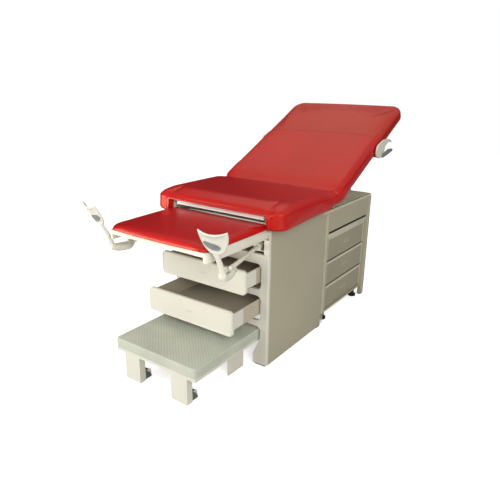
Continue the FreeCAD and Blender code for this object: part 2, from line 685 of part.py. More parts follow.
def make_front_drawer(name, out, face, box):
    """A moulded front with short cheeks, and the steel box behind it."""
    half = D["front_half"]
    rear = D["front_plane"] - out
    body = plate(name + "_face", "XZ_Plane", [[(-half, face[0]), (half, face[0]), (half, face[1]), (-half, face[1])]],
                 D["front_thick"], rear - D["front_thick"] - 0.4, reverse=True)
    round_corners(body, 22, lambda edge: runs_along(edge, Vec(0, 1, 0)))
    round_corners(body, 5, lambda edge: abs(edge.CenterOfMass.y) < 0.01)
    cheek = block(name + "_cheek", (D["drawer_half"] + 0.3, D["drawer_half"] + 3), (rear - 1, rear + 82),
                  (box[0] + 3, box[1] - 2))
    keep(name + "_front", fuse(name + "_front", body, cheek, mirrored(name + "_cheek_other", cheek)))
    keep(name + "_box", tray(name + "_box", both_sides(D["drawer_half"]), (rear, rear + D["drawer_depth"]), box))


def make_side_drawers():
    face = D["cabinet_half"] - 8
    for number, (low, high) in enumerate(side_levels(), start=1):
        name = "side_drawer_{}".format(number)
        outline = [(depth(D["side_first"] + 2), low), (depth(D["side_last"] - 2), low),
                   (depth(D["side_last"] - 2), high), (depth(D["side_first"] + 2), high)]
        body = plate(name + "_front", "YZ_Plane", [outline], 14, face - 14)
        round_corners(body, 3, lambda edge: abs(edge.CenterOfMass.x - 14) < 0.01)
        keep(name + "_front", body)
        keep(name + "_box", tray(name + "_box", (face - 14 - D["side_depth"], face - 14),
                                 (depth(D["side_first"] + 20), depth(D["side_last"] - 20)), (low + 15, high - 22)))


# ---------------------------------------------------------------- stirrups

CUP_TILT = 58
FOLD_DROP = -12
NECK = Vec(-7.5, -473, 95)


def swung(item, angle_sign=1):
    """Place a piece drawn with its swivel axis at the origin and its bar along -Y."""
    turn = FreeCAD.Rotation(Vec(0, 0, 1), angle_sign * D["swing_angle"].value)
    item.Placement = FreeCAD.Placement(Vec(), turn)
    bind_place(item, D["swivel_side"], depth(D["swivel_back"]), D["bar_height"])
    return item


def cup_outline():
    """Shield outline in the cup's plane, from the neck at the origin up to the horned top edge."""
    def arc(start, middle, end):
        return Part.Arc(*[Vec(*point, 0) for point in (start, middle, end)]).toShape()

    def line(start, end):
        return Part.LineSegment(Vec(*start, 0), Vec(*end, 0)).toShape()

    return Part.Wire([
        line((-15, -4), (15, -4)), arc((15, -4), (46, 38), (67, 76)), arc((67, 76), (72, 103), (71, 131)),
        arc((71, 131), (12, 119), (-49, 131)), arc((-49, 131), (-53, 88), (-42, 42)),
        arc((-42, 42), (-29, 20), (-15, -4)),
    ])


def make_stirrup_right():
    """Swivelling tube, sliding bar with its end fitting, and the folding cup on its stem."""
    bore = D["bar_radius"] + 0.5
    barrel = rod("tube_barrel", "y", (0, -45, 0), 245, 18)
    stubs = [rod("tube_stub_low", "z", (0, 0, -24), 12, 8), rod("tube_stub_high", "z", (0, 0, 12), 23, 8)]
    hole = rod("tube_hole", "y", (0, -46, 0), 247, bore)
    tube = swung(cut("stirrup_tube_right", fuse("tube_blank", barrel, *stubs), hole))

    reach = D["bar_reach"]
    bar = rod("bar_rod", "y", (0, 12 - reach, 0), reach + 168, D["bar_radius"])
    lug = block("bar_lug_blank", (-7, 7), (-reach - 12, -reach + 18), (FOLD_DROP - 10, 9))
    lug_round = rounded("bar_lug", lug, 8, lambda edge: runs_along(edge, Vec(1, 0, 0)) and edge.CenterOfMass.z < 0)
    pin = rod("bar_pin", "x", (-17, -reach, FOLD_DROP), 34, 4)
    rear = swung(fuse("stirrup_bar_right", bar, lug_round, pin))

    boat = block("boat_blank", (-17, 17), (-reach - 98, -reach + 14), (-42, -2))
    hull = rounded("boat_hull", boat, 26, lambda edge: runs_along(edge, Vec(1, 0, 0)) and edge.CenterOfMass.z < -40)
    room = block("boat_room", (-11, 11), (-reach - 82, -reach + 15), (-35, -1))
    pin_hole = rod("boat_hole", "x", (-18, -reach, FOLD_DROP), 36, 4.06)
    stem = doc.addObject("Part::Feature", "stem")
    stem.Shape = stem_shape(-reach.value)
    face = doc.addObject("Part::Feature", "cup_face")
    face.Shape = Part.Face(cup_outline()).extrude(Vec(0, 0, 9))
    face.Placement = FreeCAD.Placement(NECK, FreeCAD.Rotation(Vec(1, 0, 0), 180 - CUP_TILT))
    channel = cut("boat_channel", hull, room, pin_hole)
    cup = swung(fuse("stirrup_cup_right", channel, stem, face))
    return tube, rear, cup


def stem_shape(pivot):
    """A stem that rises from the boat's outer end and broadens into the cup."""
    def section(centre, half_wide, lean):
        half_deep = 8
        along = Vec(0, half_deep * lean[0], half_deep * lean[1])
        corners = [centre + Vec(half_wide, 0, 0) + along, centre + Vec(-half_wide, 0, 0) + along,
                   centre + Vec(-half_wide, 0, 0) - along, centre + Vec(half_wide, 0, 0) - along]
        return Part.makePolygon(corners + corners[:1])

    level = (1, 0.05)
    leaning = (0.94, 0.34)
    sections = [section(Vec(0, pivot - 89, -22), 16, level), section(Vec(0, pivot - 91, 4), 11, level),
                section(Vec(-3, pivot - 108, 50), 10, leaning), section(NECK + Vec(0, 1, -3), 15, leaning)]
    return Part.makeLoft(sections, True, True)


def make_stirrups():
    for right in make_stirrup_right():
        keep(right.Name, right)
        left_name = right.Name.replace("right", "left")
        keep(left_name, mirrored(left_name, right))
    lower = block("shelf_low", (188, 262.7), (depth(17), depth(92)), (586, 590))
    upper = block("shelf_high", (188, 262.7), (depth(17), depth(92)), (641, 645))
    web = block("shelf_web", (259, 262.7), (depth(17), depth(92)), (586, 645))
    bush = rod("shelf_bush", "z", (D["swivel_side"], depth(D["swivel_back"]), 580), 70, 8.05)
    right = cut("shelf_right", fuse("shelf_blank", lower, upper, web), bush)
    keep("stirrup_brackets", pair("stirrup_brackets", right))


# ---------------------------------------------------------------- assembly

def check_and_write():
    doc.recompute()
    for item in doc.Objects:
        if "Invalid" in item.State or "Error" in item.State:
            raise RuntimeError("{} failed: {}".format(item.Name, item.State))
    os.makedirs("parts", exist_ok=True)
    outline = FreeCAD.BoundBox()
    for name, item in NODES.items():
        shape = item.Shape
        if shape.isNull() or not shape.isValid() or not shape.Solids:
            raise RuntimeError(name + " is not a valid solid")
        outline.add(shape.optimalBoundingBox(True, False))
        shape.exportStep("parts/{}.step".format(name))
        print("{:24s} {:2d} solids {:9.1f} cm3".format(name, len(shape.Solids), shape.Volume / 1000))
    print("nodes", len(NODES), "outline", outline)


make_side_panels()
make_drawer_frame()
make_cabinet_sheets()
make_front_panel()
make_seat_frame()
make_seat()
make_guides()
make_side_runners()
make_hinges_and_tracks()
make_feet()
make_backrest()
make_release()
make_support_arm()
make_leg_rest()
make_step()
make_front_drawer("drawer_upper", D["upper_out"], (414, 532), (438, 516))
make_front_drawer("drawer_lower", D["lower_out"], (247, 370), (272, 354))
make_side_drawers()
make_stirrups()
check_and_write()
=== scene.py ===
import json
import math

import bpy
import numpy as np
from mathutils import Matrix, Vector


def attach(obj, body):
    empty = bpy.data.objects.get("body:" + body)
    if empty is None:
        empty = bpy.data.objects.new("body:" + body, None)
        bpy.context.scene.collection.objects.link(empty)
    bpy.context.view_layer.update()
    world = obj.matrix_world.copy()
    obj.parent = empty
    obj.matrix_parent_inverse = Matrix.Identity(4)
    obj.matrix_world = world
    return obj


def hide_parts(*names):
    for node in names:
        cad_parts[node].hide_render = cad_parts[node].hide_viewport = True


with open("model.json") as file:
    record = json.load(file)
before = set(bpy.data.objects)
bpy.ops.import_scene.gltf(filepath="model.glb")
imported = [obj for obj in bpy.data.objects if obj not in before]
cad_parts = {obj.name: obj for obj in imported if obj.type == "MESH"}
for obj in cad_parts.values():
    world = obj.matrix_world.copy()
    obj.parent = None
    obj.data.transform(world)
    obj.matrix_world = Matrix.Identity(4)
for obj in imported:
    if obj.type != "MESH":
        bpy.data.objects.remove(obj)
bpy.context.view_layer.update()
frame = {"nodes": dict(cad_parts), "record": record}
NODES = frame["nodes"]
SCENE = bpy.context.scene

# ------------------------------------------------------------------ places on the object

FRONT = -0.4406  # the front panel's face, along Y
SIDE_FACE = 0.291  # the outer face of the base's side walls, along X
HINGE = Vector((0, FRONT + 0.545, 0.768))  # the backrest's axis
TILT = math.radians(26)  # the backrest above horizontal, at rest
SWIVEL = (0.216, FRONT + 0.040, 0.610)  # the right stirrup's swivel
SWING = math.radians(14)  # how far the stirrups' bars are turned outwards at rest
CUP_TILT = math.radians(58)
CUP_MIDDLE, CUP_REACH = 0.010, 0.06
CUP_WRAP = 0.015  # how far a cup's face curves back at CUP_REACH from its middle
CUP_FACE = 0.0078  # the cup's face inside its rim, from its inner face
SUNK = -0.0004  # the foot of raised trim, just inside the piece that carries it

# ------------------------------------------------------------------ camera

CAMERA_PLACE = Vector((1.4587, -1.8304 + FRONT, 1.3251))
YAW, PITCH, ROLL = 0.608, 0.320, -0.016
LENS_MM, SENSOR_MM = 36.35, 36


def make_camera():
    """A camera turned by YAW, tipped down by PITCH and rolled by ROLL."""
    forward = Vector((-math.sin(YAW) * math.cos(PITCH), math.cos(YAW) * math.cos(PITCH), -math.sin(PITCH)))
    right = Vector((math.cos(YAW), math.sin(YAW), 0))
    down = forward.cross(right)
    right_rolled = math.cos(ROLL) * right + math.sin(ROLL) * down
    down_rolled = -math.sin(ROLL) * right + math.cos(ROLL) * down
    data = bpy.data.cameras.new("camera")
    data.lens = LENS_MM
    data.sensor_width = SENSOR_MM
    camera = bpy.data.objects.new("camera", data)
    SCENE.collection.objects.link(camera)
    columns = (right_rolled, -down_rolled, -forward)
    turn = Matrix([[column[row] for column in columns] for row in range(3)])
    camera.matrix_world = Matrix.Translation(CAMERA_PLACE) @ turn.to_4x4()
    SCENE.camera = camera


# ------------------------------------------------------------------ node helpers

class Paint:
    """A material under construction: its tree, its shader and a few shortcuts."""

    def __init__(self, name, **sockets):
        self.material = bpy.data.materials.new(name)
        self.material.use_nodes = True
        self.nodes = self.material.node_tree.nodes
        self.links = self.material.node_tree.links
        self.shader = self.nodes["Principled BSDF"]
        for socket, value in sockets.items():
            self.shader.inputs[socket.replace("_", " ")].default_value = value
        self.coords = self.nodes.new("ShaderNodeTexCoord").outputs["Object"]
        self.normal = None

    def add(self, kind, **settings):
        node = self.nodes.new(kind)
        for key, value in settings.items():
            setattr(node, key, value)
        return node

    def link(self, source, target):
        self.links.new(source, target)

    def stretched(self, scale):
        node = self.add("ShaderNodeMapping")
        node.inputs["Scale"].default_value = scale
        self.link(self.coords, node.inputs["Vector"])
        return node.outputs["Vector"]

    def noise(self, scale, detail=3.0, roughness=0.55, vector=None, distortion=0.0):
        node = self.add("ShaderNodeTexNoise")
        self.link(vector or self.coords, node.inputs["Vector"])
        node.inputs["Scale"].default_value = scale
        node.inputs["Detail"].default_value = detail
        node.inputs["Roughness"].default_value = roughness
        node.inputs["Distortion"].default_value = distortion
        return node.outputs["Fac"]

    def cells(self, scale, feature="F1"):
        node = self.add("ShaderNodeTexVoronoi", feature=feature)
        self.link(self.coords, node.inputs["Vector"])
        node.inputs["Scale"].default_value = scale
        return node.outputs["Distance"]

    def ramp(self, value, stops):
        node = self.add("ShaderNodeValToRGB")
        self.link(value, node.inputs["Fac"])
        band = node.color_ramp
        while len(band.elements) < len(stops):
            band.elements.new(0.5)
        for element, (place, colour) in zip(band.elements, stops):
            element.position = place
            element.color = (*colour, 1)
        return node.outputs["Color"]

    def span(self, value, low, high, from_low=0.3, from_high=0.7):
        node = self.add("ShaderNodeMapRange")
        self.link(value, node.inputs["Value"])
        limits = (("From Min", from_low), ("From Max", from_high), ("To Min", low), ("To Max", high))
        for socket, number in limits:
            node.inputs[socket].default_value = number
        return node.outputs["Result"]

    def mix(self, factor, first, second, blend="MIX"):
        node = self.add("ShaderNodeMix", data_type="RGBA", blend_type=blend)
        for index, source in ((0, factor), (6, first), (7, second)):
            if isinstance(source, bpy.types.NodeSocket):
                self.link(source, node.inputs[index])
            else:
                node.inputs[index].default_value = source
        return node.outputs[2]

    def times(self, value, factor):
        node = self.add("ShaderNodeMath", operation="MULTIPLY")
        self.link(value, node.inputs[0])
        node.inputs[1].default_value = factor
        return node.outputs[0]

    def bump(self, height, distance, strength=1.0):
        node = self.add("ShaderNodeBump")
        node.inputs["Strength"].default_value = strength
        node.inputs["Distance"].default_value = distance
        self.link(height, node.inputs["Height"])
        if self.normal is not None:
            self.link(self.normal, node.inputs["Normal"])
        self.normal = node.outputs["Normal"]

    def soft_edges(self, radius):
        node = self.add("ShaderNodeBevel", samples=4)
        node.inputs["Radius"].default_value = radius
        self.normal = node.outputs["Normal"]

    def edge_highlight_mask(self, radius):
        """A mask that is bright along sharp edges: where the bevelled normal leaves the true one. It places
        painted highlights.
        """
        edge = self.add("ShaderNodeBevel", samples=4)
        edge.inputs["Radius"].default_value = radius
        true = self.add("ShaderNodeNewGeometry")
        dot = self.add("ShaderNodeVectorMath", operation="DOT_PRODUCT")
        self.link(edge.outputs["Normal"], dot.inputs[0])
        self.link(true.outputs["Normal"], dot.inputs[1])
        return self.span(dot.outputs["Value"], 1, 0, 0.75, 0.99)

    def done(self, colour=None, roughness=None):
        if colour is not None:
            self.link(colour, self.shader.inputs["Base Color"])
        if roughness is not None:
            self.link(roughness, self.shader.inputs["Roughness"])
        if self.normal is not None:
            self.link(self.normal, self.shader.inputs["Normal"])
        return self.material


def linear(red, green, blue):
    """Linear colour from 0-255 display values."""
    return tuple(c / 12.92 if c <= 0.04045 else ((c + 0.055) / 1.055) ** 2.4
                 for c in (red / 255, green / 255, blue / 255))


def shade(colour, factor):
    """A colour made lighter or darker, and kept from going past white."""
    return tuple(min(1.0, c * factor) for c in colour)


# ------------------------------------------------------------------ materials

def vinyl(name, colour):
    """Upholstery vinyl: deep crimson, leather grain, long soft creases and a warm sheen."""
    paint = Paint(name, Specular_IOR_Level=0.80)
    paint.shader.inputs["Specular Tint"].default_value = (1.0, 0.58, 0.34, 1)
    broad = paint.noise(2.3, 2.0)
    tone = paint.ramp(broad, [(0.3, shade(colour, 0.90)), (0.7, shade(colour, 1.10))])
    fine = paint.noise(140, 4.0, 0.6)
    speck = paint.ramp(fine, [(0.35, (0.92, 0.90, 0.90)), (0.65, (1, 1, 1))])
    dyed = paint.mix(1.0, tone, speck, "MULTIPLY")
    grain = paint.cells(520, "SMOOTH_F1")
    creases = paint.noise(30, 3.0, 0.5, distortion=0.4)
    paint.bump(creases, 0.0012, 0.5)
    paint.bump(grain, 0.00025, 0.8)
    return paint.done(dyed, paint.span(fine, 0.27, 0.36))


def enamel(name, colour, highlight_strength=1.0, rough=0.42, metal=0.0):
    """Powder-coated sheet: fine orange peel, slightly mottled, with a painted highlight along its edges."""
    paint = Paint(name, Metallic=metal)
    broad = paint.noise(3.1, 3.0)
    tone = paint.ramp(broad, [(0.3, shade(colour, 0.94)), (0.7, shade(colour, 1.05))])
    speckle = paint.noise(520, 2.0)
    spots = paint.ramp(speckle, [(0.38, (0.95, 0.95, 0.94)), (0.62, (1, 1, 1))])
    body = paint.mix(1.0, tone, spots, "MULTIPLY")
    # Painted highlight: the colour is mixed towards a lighter copy of itself along sharp edges.
    edge = paint.times(paint.edge_highlight_mask(0.0028), 0.32 * highlight_strength)
    colour_out = paint.mix(edge, body, (*shade(colour, 1.55), 1))
    paint.soft_edges(0.0018)
    paint.bump(paint.noise(380, 3.0), 0.00012, 0.45)
    return paint.done(colour_out, paint.span(broad, rough - 0.05, rough + 0.07))


def moulding(name, colour, rough=0.45, texture=0.5, edge_light=0.25):
    """Moulded plastic: fine spark-eroded texture and soft edges, with a painted highlight along them."""
    paint = Paint(name, Specular_IOR_Level=0.45)
    broad = paint.noise(4.0, 2.0)
    tone = paint.ramp(broad, [(0.3, shade(colour, 0.96)), (0.7, shade(colour, 1.03))])
    # Painted highlight: the colour is mixed towards a lighter copy of itself along sharp edges.
    edge = paint.times(paint.edge_highlight_mask(0.003), edge_light)
    body = paint.mix(edge, tone, (*shade(colour, 1.15), 1))
    paint.soft_edges(0.0022)
    paint.bump(paint.cells(900), 0.00010, texture)
    return paint.done(body, paint.span(paint.noise(60, 3.0), rough - 0.05, rough + 0.08))


def rubber(name, colour, rough=0.7):
    """Rubber with a dusty, finely pitted surface."""
    paint = Paint(name, Specular_IOR_Level=0.35)
    broad = paint.noise(6.0, 3.0)
    dust = paint.noise(90, 4.0, 0.65)
    tone = paint.ramp(broad, [(0.3, shade(colour, 0.92)), (0.7, shade(colour, 1.06))])
    pale = paint.ramp(dust, [(0.4, (0.94, 0.94, 0.94)), (0.7, (1.0, 1.0, 1.0))])
    paint.soft_edges(0.0015)
    paint.bump(paint.noise(700, 2.0), 0.00015, 0.5)
    return paint.done(paint.mix(1.0, tone, pale, "MULTIPLY"), paint.span(dust, rough - 0.08, rough + 0.08))


def zinc(name, colour, rough=0.34):
    """Zinc-plated steel with drawn streaks."""
    paint = Paint(name, Metallic=0.9)
    drawn = paint.noise(60, 4.0, 0.6, paint.stretched((14, 0.6, 14)))
    tone = paint.ramp(drawn, [(0.3, shade(colour, 0.85)), (0.7, shade(colour, 1.1))])
    paint.soft_edges(0.001)
    paint.bump(drawn, 0.00008, 0.5)
    return paint.done(tone, paint.span(drawn, rough - 0.08, rough + 0.12))


def birch():
    """Birch plywood: long pale grain running across the part, with fine pores along it."""
    paint = Paint("plywood_birch")
    light, dark = linear(203, 176, 134), linear(176, 142, 100)
    rings = paint.noise(7, 4.0, 0.55, paint.stretched((0.5, 7, 7)), 0.5)
    pores = paint.noise(260, 2.0, 0.5, paint.stretched((0.05, 1, 1)))
    tone = paint.ramp(rings, [(0.30, dark), (0.5, light), (0.70, shade(light, 1.06))])
    dots = paint.ramp(pores, [(0.36, (0.90, 0.88, 0.85)), (0.52, (1, 1, 1))])
    paint.soft_edges(0.001)
    paint.bump(pores, 0.00012, 0.5)
    return paint.done(paint.mix(1.0, tone, dots, "MULTIPLY"), paint.span(rings, 0.52, 0.66))


MATERIALS = {
    "upholstery": vinyl("vinyl_red", linear(180, 1, 17)),
    "head_panel": vinyl("vinyl_head", linear(176, 26, 20)),
    "putty_enamel": enamel("enamel_putty", linear(168, 163, 141)),
    "cream_moulding": moulding("moulding_cream", linear(205, 203, 191)),
    "tread_rubber": rubber("rubber_tread", linear(182, 187, 172)),
    "drawer_steel": enamel("enamel_drawer", linear(176, 168, 150), 0.6),
    "frame_steel": enamel("enamel_frame", linear(216, 213, 199), 0.5, 0.36),
    "bright_steel": zinc("zinc_plated", (0.62, 0.61, 0.58)),
    "plywood": birch(),
    "white_moulding": moulding("moulding_white", linear(214, 212, 200), 0.36, 0.25),
    "slate_plastic": moulding("moulding_slate", linear(120, 126, 126), 0.5, 0.5, 0.4),
    "black_rubber": rubber("rubber_black", (0.018, 0.018, 0.018)),
    "grey_roller": rubber("roller_grey", linear(96, 98, 90), 0.6),
    "tread_stud": rubber("rubber_stud", linear(188, 193, 179), 0.65),
    "rail_white": moulding("moulding_rail", linear(238, 239, 236), 0.4, 0.3),
    # A darker copy of the putty enamel for painted shade on the side drawers' fields, and a paler copy for
    # painted highlights on raised trim.
    "shaded_field_enamel": enamel("enamel_field_shaded", linear(152, 147, 126), 0.6),
    "highlight_enamel": enamel("enamel_highlight", linear(198, 194, 174), 0.8),
    # A lighter copy of the putty enamel for the deck: painted light where the backrest shades it.
    "lit_deck_enamel": enamel("enamel_deck_lit", linear(196, 192, 172), 0.8),
}
# Nodes whose paint isn't their slot's own
NODE_LOOKS = {"top_deck": "lit_deck_enamel", "seat_rail": "rail_white", "leg_rest_runners": "frame_steel"}


def dress(item, material):
    item.data.materials.clear()
    item.data.materials.append(material)


def dress_nodes():
    """Paint every CAD node."""
    for entry in frame["record"]["subparts"]:
        look = NODE_LOOKS.get(entry["node"], entry["material_slot"])
        dress(NODES[entry["node"]], MATERIALS[look])


# ------------------------------------------------------------------ stage and light

def area_light(name, place, target, size, power, colour):
    data = bpy.data.lights.new(name, "AREA")
    data.shape = "RECTANGLE"
    data.size, data.size_y = size
    data.energy = power
    data.color = colour
    light = bpy.data.objects.new(name, data)
    light.location = place
    light.visible_camera = False
    light.rotation_mode = "QUATERNION"
    light.rotation_quaternion = (Vector(target) - Vector(place)).to_track_quat("-Z", "Y")
    SCENE.collection.objects.link(light)


def make_floor():
    """A pale floor that looks lighter to the camera than to the light that it bounces."""
    span = 9.0
    data = bpy.data.meshes.new("floor")
    corners = [(-span, -span, 0), (span, -span, 0), (span, span, 0), (-span, span, 0)]
    data.from_pydata(corners, [], [(0, 1, 2, 3)])
    floor = bpy.data.objects.new("floor", data)
    SCENE.collection.objects.link(floor)
    paint = Paint("floor_white", Roughness=0.9, Specular_IOR_Level=0.1)
    paint.shader.inputs["Emission Color"].default_value = (1, 1, 1, 1)
    seen = paint.add("ShaderNodeLightPath").outputs["Is Camera Ray"]
    tone = paint.ramp(paint.noise(0.5, 2.0), [(0.3, (0.91, 0.91, 0.91)), (0.7, (0.93, 0.93, 0.93))])
    paint.link(paint.times(seen, 0.62), paint.shader.inputs["Emission Strength"])
    dress(floor, paint.done(paint.mix(seen, (0.55, 0.55, 0.54, 1), tone)))


def make_world():
    """Soft light from above that fades to dark below, behind a white background."""
    world = bpy.data.worlds.new("studio")
    SCENE.world = world
    world.use_nodes = True
    nodes, links = world.node_tree.nodes, world.node_tree.links
    height = nodes.new("ShaderNodeVectorMath")
    height.operation = "DOT_PRODUCT"
    links.new(nodes.new("ShaderNodeTexCoord").outputs["Generated"], height.inputs[0])
    height.inputs[1].default_value = (0.38, -0.15, 1.0)
    fade = nodes.new("ShaderNodeValToRGB")
    links.new(height.outputs["Value"], fade.inputs["Fac"])
    low, high = fade.color_ramp.elements
    low.position, low.color = 0.10, (0.03, 0.03, 0.029, 1)
    high.position, high.color = 0.80, (0.70, 0.69, 0.67, 1)
    seen = nodes.new("ShaderNodeMix")
    seen.data_type = "RGBA"
    links.new(nodes.new("ShaderNodeLightPath").outputs["Is Camera Ray"], seen.inputs[0])
    links.new(fade.outputs["Color"], seen.inputs[6])
    seen.inputs[7].default_value = (1, 1, 1, 1)
    links.new(seen.outputs[2], nodes["Background"].inputs["Color"])
    SCENE.view_settings.view_transform = "Standard"
    SCENE.view_settings.look = "None"


# name, place, target, size, watts, colour
LIGHTS = [
    ("key", (-2.7, -3.6, 1.75), (0, -0.2, 0.75), (3.4, 2.8), 118, (1.0, 0.975, 0.935)),
    ("fill", (3.0, -3.0, 2.2), (0.2, -0.2, 0.5), (1.8, 1.8), 112, (1.0, 0.98, 0.95)),
    ("bounce", (-1.5, -2.4, 0.04), (-1.1, -1.4, 2.0), (2.2, 2.0), 75, (1.0, 0.97, 0.92)),
    ("top", (-1.2, 1.4, 3.4), (0, 0.2, 0.8), (2.2, 2.2), 8, (1.0, 0.90, 0.78)),
]


# ------------------------------------------------------------------ mesh helpers

def show(item, body, slot, look=None):
    """Paint a piece with its slot's paint and ride it on its body. look names its paint if the slot doesn't."""
    dress(item, MATERIALS[look or slot])
    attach(item, body)
    return item


def new_object(name, points, faces):
    data = bpy.data.meshes.new(name)
    data.from_pydata([tuple(map(float, point)) for point in points], [], faces)
    data.update()
    data.polygons.foreach_set("use_smooth", [True] * len(data.polygons))
    item = bpy.data.objects.new(name, data)
    SCENE.collection.objects.link(item)
    return item


def coordinates(item):
    values = np.zeros(len(item.data.vertices) * 3)
    item.data.vertices.foreach_get("co", values)
    return values.reshape(-1, 3)


def set_coordinates(item, values):
    item.data.vertices.foreach_set("co", values.astype(np.float32).ravel())
    item.data.update()


def stations(low, high, edge, fine, coarse, extra=()):
    """Positions from low to high, close together near both ends and near the extra positions."""
    ends = max(2, round(edge / fine))
    inner = max(2, round((high - low - 2 * edge) / coarse))
    places = np.concatenate([np.linspace(low, low + edge, ends, endpoint=False),
                             np.linspace(low + edge, high - edge, inner, endpoint=False),
                             np.linspace(high - edge, high, ends + 1)])
    for place, reach in extra:
        keep = places[(places < place - reach) | (places > place + reach)]
        close = np.linspace(place - reach, place + reach, 2 * round(reach / fine) + 1)
        places = np.sort(np.concatenate([keep, close]))
    return places


def box_shell(xs, ys, zs):
    """Points and faces of a box's surface, divided at the given positions."""
    index, points, faces = {}, [], []

    def number(i, j, k):
        if (i, j, k) not in index:
            index[i, j, k] = len(points)
            points.append((xs[i], ys[j], zs[k]))
        return index[i, j, k]

    def quad(*corners):
        faces.append([number(*corner) for corner in corners])

    nx, ny, nz = len(xs) - 1, len(ys) - 1, len(zs) - 1
    for i in range(nx):
        for j in range(ny):
            quad((i, j, nz), (i + 1, j, nz), (i + 1, j + 1, nz), (i, j + 1, nz))
            quad((i, j, 0), (i, j + 1, 0), (i + 1, j + 1, 0), (i + 1, j, 0))
    for k in range(nz):
        for i in range(nx):
            quad((i, 0, k), (i + 1, 0, k), (i + 1, 0, k + 1), (i, 0, k + 1))
            quad((i, ny, k), (i, ny, k + 1), (i + 1, ny, k + 1), (i + 1, ny, k))
        for j in range(ny):
            quad((0, j, k), (0, j, k + 1), (0, j + 1, k + 1), (0, j + 1, k))
            quad((nx, j, k), (nx, j + 1, k), (nx, j + 1, k + 1), (nx, j, k + 1))
    return np.array(points), faces


def rounded_slab(points, half, y_low, y_high, z_low, z_high, radius, edge_top, edge_bottom):
    """Round a box's plan corners (front radius, rear radius) and then its top and bottom edges."""
    points = points.copy()
    middle, reach = (y_low + y_high) / 2, (y_high - y_low) / 2
    for point in points:
        side_x, side_y = math.copysign(1, point[0]), math.copysign(1, point[1] - middle)
        corner = radius[0] if side_y < 0 else radius[1]
        dx = abs(point[0]) - (half - corner)
        dy = abs(point[1] - middle) - (reach - corner)
        if dx > 0 and dy > 0:
            shrink = max(dx, dy) / math.hypot(dx, dy)
            dx, dy = dx * shrink, dy * shrink
            length = math.hypot(dx, dy)
            inside, way = corner - length, (dx / length, dy / length)
        elif dx > dy:
            inside, way = corner - dx, (1, 0)
        else:
            inside, way = corner - dy, (0, 1)
        out = 0.0
        above, beneath = point[2] - (z_high - edge_top), z_low + edge_bottom - point[2]
        for edge, height, is_top in ((edge_top, above, True), (edge_bottom, beneath, False)):
            side = edge - inside
            if side > 0 and height > 0:
                shrink = max(side, height) / math.hypot(side, height)
                out = side * shrink - side
                lift = height * shrink - height
                point[2] += lift if is_top and point[2] > (z_low + z_high) / 2 else -lift
                break
        point[0] = side_x * (half - corner + dx + way[0] * out)
        point[1] = middle + side_y * (reach - corner + dy + way[1] * out)
    return points


PRESSURE = 4.0
PRESSURE_FRAMES = 20


def plump(item, held, cap, loose):
    """Swell a cover with cloth pressure.

    Held vertices stay. The others move by no more than cap, and loose scales how far each of them moves.
    """
    before = coordinates(item)
    group = item.vertex_groups.new(name="held")
    group.add([int(i) for i in np.nonzero(held)[0]], 1.0, "REPLACE")
    modifier = item.modifiers.new("cloth", "CLOTH")
    settings = modifier.settings
    settings.quality = 5
    settings.mass = 0.3
    settings.tension_stiffness = settings.compression_stiffness = 20
    settings.shear_stiffness = 10
    settings.bending_stiffness = 1.5
    settings.use_pressure = True
    settings.uniform_pressure_force = PRESSURE
    settings.effector_weights.gravity = 0
    settings.vertex_group_mass = "held"
    modifier.point_cache.frame_end = PRESSURE_FRAMES
    for number in range(1, PRESSURE_FRAMES + 1):
        SCENE.frame_set(number)
    swollen = item.evaluated_get(bpy.context.evaluated_depsgraph_get())
    move = coordinates(swollen) - before
    item.modifiers.remove(modifier)
    item.vertex_groups.clear()
    SCENE.frame_set(1)
    length = np.linalg.norm(move, axis=1, keepdims=True)
    move *= cap * np.tanh(length / cap) / np.maximum(length, 1e-9) * loose[:, None]
    set_coordinates(item, before + move)


def smooth_step(value, start, end):
    t = np.clip((value - start) / (end - start), 0, 1)
    return t * t * (3 - 2 * t)


def subdivide(item):
    modifier = item.modifiers.new("subdivision", "SUBSURF")
    modifier.levels = modifier.render_levels = 1


def tube(name, path, radius, sides=8):
    """A round cord along a list of points, with domed ends."""
    path = [Vector(point) for point in path]
    points, faces = [], []
    last = len(path) - 1
    for i, centre in enumerate(path):
        along = path[min(i + 1, last)] - path[max(i - 1, 0)]
        along.normalize()
        first = along.cross(Vector((0.13, 0.21, 0.97))).normalized()
        second = along.cross(first)
        size = radius if 0 < i < last else radius * 0.4
        for k in range(sides):
            turn = 2 * math.pi * k / sides
            points.append(centre + first * (size * math.cos(turn)) + second * (size * math.sin(turn)))
    for i in range(last):
        for k in range(sides):
            after = (k + 1) % sides
            faces.append([i * sides + k, i * sides + after, (i + 1) * sides + after, (i + 1) * sides + k])
    faces.append(list(range(sides))[::-1])
    faces.append([last * sides + k for k in range(sides)])
    return new_object(name, points, faces)


def loft(name, rings, cap_ends=True):
    """A skin over a list of closed rings with the same number of points."""
    count = len(rings[0])
    points = [point for ring in rings for point in ring]
    faces = []
    for i in range(len(rings) - 1):
        for k in range(count):
            after = (k + 1) % count
            faces.append([i * count + k, i * count + after, (i + 1) * count + after, (i + 1) * count + k])
    if cap_ends:
        faces.append(list(range(count))[::-1])
        faces.append([(len(rings) - 1) * count + k for k in range(count)])
    return new_object(name, points, faces)


class Plane:
    """A flat place on the object: a centre, two directions in it, and the way out of it."""

    def __init__(self, centre, across, up):
        self.centre = Vector(centre)
        self.across = Vector(across).normalized()
        self.up = Vector(up).normalized()
        self.out = self.across.cross(self.up)

    def at(self, a, b, height=0.0):
        return self.centre + self.across * a + self.up * b + self.out * height


